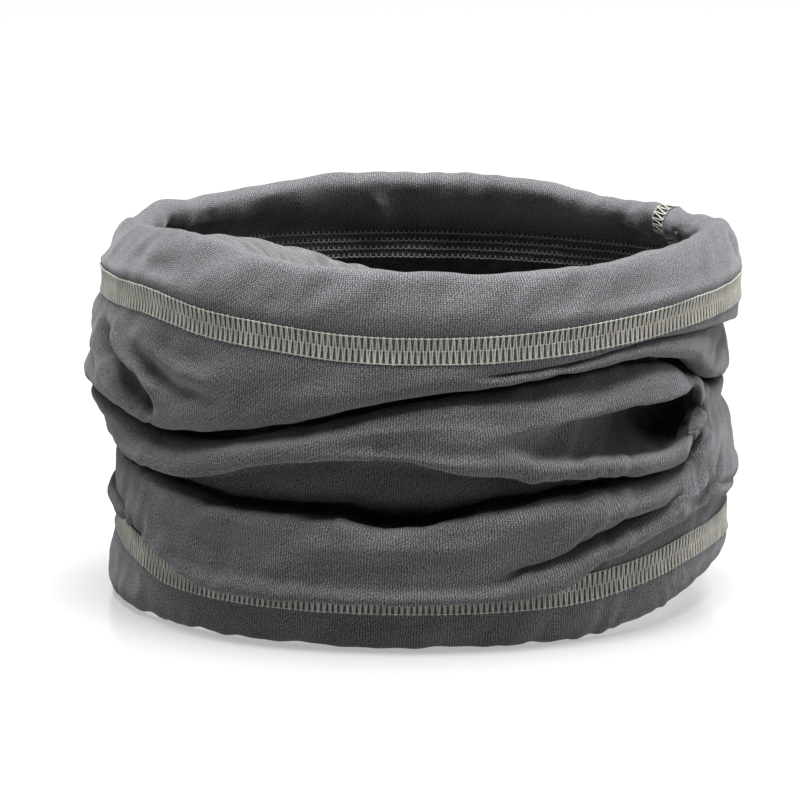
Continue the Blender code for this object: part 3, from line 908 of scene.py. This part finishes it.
def tube_mesh(points, radius, closed, sides):
    """Points and faces of a round thread along the points."""
    p = np.asarray(points)
    count = len(p)
    tangent = np.roll(p, -1, 0) - np.roll(p, 1, 0) if closed else np.gradient(p, axis=0)
    tangent /= np.linalg.norm(tangent, axis=1)[:, None] + 1e-12
    outward = p - np.array([0.0, 0.0, 0.04])
    outward[:, 2] *= 0.3
    side = np.cross(tangent, outward)
    side /= np.linalg.norm(side, axis=1)[:, None] + 1e-12
    up = np.cross(side, tangent)
    rings = []
    for k in range(sides):
        angle = 2 * math.pi * k / sides
        rings.append(p + (side * math.cos(angle) + up * math.sin(angle)) * radius * MM)
    i = np.arange(count if closed else count - 1)[:, None]
    k = np.arange(sides)[None, :]
    i2 = (i + 1) % count
    k2 = (k + 1) % sides
    faces = np.stack([i * sides + k, i2 * sides + k, i2 * sides + k2, i * sides + k2], axis=-1)
    faces = [tuple(q) for q in faces.reshape(-1, 4)]
    if not closed:
        faces.append(tuple(range(sides - 1, -1, -1)))
        faces.append(tuple((count - 1) * sides + j for j in range(sides)))
    return np.stack(rings, axis=1).reshape(-1, 3), faces


def tube(name, paths, radius, closed=True, sides=6):
    """One piece of thread made of one or more paths."""
    points, faces = [], []
    for path in paths:
        p, f = tube_mesh(path, radius, closed, sides)
        base = sum(len(q) for q in points)
        points.append(p)
        faces += [tuple(base + i for i in q) for q in f]
    made = mesh_object(name, np.concatenate(points), faces)
    made.data.materials.append(THREAD)
    return made


LOOPS = int(round(ROUND / STITCH_PITCH))
rng = np.random.default_rng(7)
# how far the cover thread's loops reach to each side of the middle needle line
HALF = 0.5 * GAUGE + 0.15


def chevron(count, per, jitter_size=0.05):
    """A cover thread's zigzag of narrow loops: place along the seam in loops, offset across it, turn."""
    t = np.arange(count * per) / per
    knots = [0.0, 0.08, 0.14, 0.17, 0.33, 0.36, 0.42, 0.5]
    level = [1.0, 0.95, 0.74, 0.13, -0.13, -0.74, -0.95, -1.0]
    half_turn = np.abs((t % 1.0 + 0.5) % 1.0 - 0.5)
    across = np.interp(half_turn, knots, level)
    jitter = np.repeat(rng.normal(0.0, jitter_size, count), per)
    return t + 0.4 * jitter, across * HALF + jitter, t


def cover_path(origin, lift):
    """The cover thread round a hem, over the stitch line that is the grid's origin row."""
    along_seam, across, t = chevron(LOOPS, 20)
    phi = along_seam / LOOPS * 360.0 - 180.0
    high = lift + 0.10 * np.cos(4 * math.pi * t)
    return on_cloth(phi, across, high, origin)


def needle_path(origin, across, lift):
    """One needle thread round a hem, dipping once a stitch."""
    t = np.arange(LOOPS * 6) / 6
    high = lift + 0.15 * np.cos(2 * math.pi * t)
    return on_cloth(t / LOOPS * 360.0 - 180.0, across + 0.0 * t, high, origin)


def looper_paths(centre, origin):
    """Small interlocked loops under each needle line; centre gives the stitch's middle at azimuths."""
    t = np.arange(LOOPS * 10) / 10
    paths = []
    for k in (-1.0, -0.33, 0.33, 1.0):
        phi = (t - 0.22 * np.sin(2 * math.pi * t)) / LOOPS * 360.0 - 180.0
        offset = centre(phi) + k * 0.5 * GAUGE + 0.42 * np.cos(2 * math.pi * t)
        paths.append(on_cloth(phi, offset, 0.28 + 0.10 * np.sin(2 * math.pi * t), origin))
    return paths


def top_inner(phi):
    """The top hem's inner layer starts at the grid's first row, this far before the stitch's middle."""
    return 3.6


def foot_inner(phi):
    """The bottom hem's inner layer ends at the grid's last row, 4 mm past the stitch's middle."""
    column = (phi + 180.0) / 360.0 * COLUMNS
    c0 = np.floor(column).astype(int) % COLUMNS
    span = (along[c0, -1] - along[c0, I_FOOT]) / MM
    reach = 60
    padded = np.concatenate([span[-reach:], span, span[:reach]])
    return np.convolve(padded, np.ones(2 * reach + 1) / (2 * reach + 1), "valid") - 4.0


# the cover thread and needle threads on the face, the loopers on the inner layer behind them
threads = {}
for prefix, origin in (("top", I_TOP), ("bottom", I_FOOT)):
    threads[prefix + "_cover_thread"] = tube(
        prefix + "_stitch_cover", [cover_path(origin, 0.26)], COVER_THREAD
    )
    for word, across in (("upper", -0.5 * GAUGE), ("middle", 0.0), ("lower", 0.5 * GAUGE)):
        lift = 0.22 if across else 0.10
        threads[prefix + "_needle_" + word] = tube(
            prefix + "_stitch_needle_" + word, [needle_path(origin, across, lift)], NEEDLE_THREAD
        )
threads["top_looper_thread"] = tube("top_stitch_looper", looper_paths(top_inner, 0), LOOPER_THREAD)
threads["bottom_looper_thread"] = tube(
    "bottom_stitch_looper", looper_paths(foot_inner, I_FOOT), LOOPER_THREAD
)

# back seam: chevron cover on the face, needle lines, looper on the brushed side; azimuth in degrees
SEAM = 120.5
SEAM_HALF = 2.7
seam_span = float(along[int((SEAM + 180.0) / 360.0 * COLUMNS), -1]) / MM
SEAM_LOOPS = int((seam_span - 4.0) / STITCH_PITCH)


def seam_path(kind, lift, side=0.0):
    """A thread of the back seam, from the top hem's inner edge over the rim and down to the foot."""
    per = 20 if kind == "cover" else 8
    if kind == "cover":
        down, across, t = chevron(SEAM_LOOPS, per, 0.03)
        across = across * SEAM_HALF / HALF
    else:
        t = np.arange(SEAM_LOOPS * per) / per
        down, across = t, side + 0.0 * t
        if kind == "looper":
            across = SEAM_HALF * np.cos(2 * math.pi * t)
            down = t - 0.15 * np.sin(4 * math.pi * t)
    phi = SEAM + np.degrees(across / (RADIUS - 1.0))
    high = lift + 0.10 * np.cos(4 * math.pi * t)
    return on_cloth(phi, 2.0 + down * STITCH_PITCH, high, 0)


for node, name, path, size in (
    ("seam_cover_thread", "seam_stitch_cover", seam_path("cover", 0.30), SEAM_COVER_THREAD),
    ("seam_looper_thread", "seam_stitch_looper", seam_path("looper", -CLOTH - 0.25), SEAM_LOOPER_THREAD),
    ("seam_needle_left", "seam_stitch_left", seam_path("needle", 0.24, -SEAM_HALF), SEAM_NEEDLE_THREAD),
    ("seam_needle_right", "seam_stitch_right", seam_path("needle", 0.24, SEAM_HALF), SEAM_NEEDLE_THREAD),
):
    threads[node] = tube(name, [path], size, closed=False)


# ---- light and floor ------------------------------------------------------------
def stage_object(name, points, faces, *materials):
    mesh = bpy.data.meshes.new(name)
    mesh.from_pydata(points, [], faces)
    for material in materials:
        mesh.materials.append(material)
    made = bpy.data.objects.new(name, mesh)
    bpy.context.scene.collection.objects.link(made)
    return made


def glow_material(name, strength):
    n = Nodes(name)
    n.tree.nodes.remove(n.shader)
    glow = n.add("ShaderNodeEmission")
    glow.inputs["Strength"].default_value = strength
    n.link(glow.outputs[0], n.tree.nodes["Material Output"].inputs["Surface"])
    return n.material


SPAN = 30.0
white = Nodes("floor_white")
white.shader.inputs["Base Color"].default_value = (0.24, 0.24, 0.24, 1.0)
white.shader.inputs["Roughness"].default_value = 0.20
white.shader.inputs["Specular IOR Level"].default_value = 0.30
white.shader.inputs["Emission Color"].default_value = (1.0, 1.0, 1.0, 1.0)
white.shader.inputs["Emission Strength"].default_value = 0.40
corners = [(-SPAN, -SPAN, 0), (SPAN, -SPAN, 0), (SPAN, SPAN, 0), (-SPAN, SPAN, 0)]
floor = stage_object("floor", corners, [(0, 1, 2, 3)], white.material)
floor.location = (0, 0, -0.0002)

# a low wall all round, which the glossy floor mirrors: bright behind the object, dim elsewhere
WALL_FAR, WALL_TALL, WALL_SIDES = 2.8, 0.95, 48
BRIGHT_FROM = 0.8
ring = []
sides = []
for k in range(WALL_SIDES):
    turn = 2 * math.pi * k / WALL_SIDES
    x, y = WALL_FAR * math.cos(turn), WALL_FAR * math.sin(turn)
    ring += [(x, y, 0.0), (x, y, WALL_TALL)]
    after = (2 * k + 2) % (2 * WALL_SIDES)
    sides.append((2 * k, after, after + 1, 2 * k + 1))
bright = glow_material("wall_light", 0.72)
dim = glow_material("wall_light_dim", 0.06)
studio_wall = stage_object("studio_wall", ring, sides, bright, dim)
for polygon in studio_wall.data.polygons:
    polygon.material_index = 1 if polygon.center.y < BRIGHT_FROM else 0


def area(name, location, size, power):
    """A soft rectangular light aimed at the middle of the object."""
    data = bpy.data.lights.new(name, "AREA")
    data.shape = "RECTANGLE"
    data.size, data.size_y = size
    data.energy = power
    made = bpy.data.objects.new(name, data)
    made.location = location
    aim = Vector((0.0, 0.0, 0.05)) - Vector(location)
    made.rotation_euler = aim.to_track_quat("-Z", "Y").to_euler()
    bpy.context.scene.collection.objects.link(made)


world = bpy.data.worlds.new("world")
bpy.context.scene.world = world
world.use_nodes = True
background = world.node_tree.nodes["Background"]
background.inputs[0].default_value = (1.0, 1.0, 1.0, 1.0)
background.inputs[1].default_value = 0.02
area("top_soft", (0.12, 0.0, 1.6), (1.4, 1.3), 122.0)
area("right_soft", (1.4, -0.3, 1.0), (0.7, 0.9), 8.0)
area("left_soft", (-1.4, -0.1, 0.9), (0.6, 0.9), 0.8)

bpy.context.scene.view_settings.view_transform = "Standard"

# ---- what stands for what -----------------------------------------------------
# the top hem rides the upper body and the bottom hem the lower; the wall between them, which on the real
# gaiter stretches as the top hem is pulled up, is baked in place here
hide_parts("top_hem")
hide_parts("gathered_wall")
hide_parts("bottom_hem")
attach(top_hem, "upper")
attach(bottom_hem, "lower")
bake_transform(wall)
for node, item in threads.items():
    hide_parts(node)
    if node.startswith("seam"):
        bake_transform(item)
    else:
        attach(item, "upper" if node.startswith("top") else "lower")
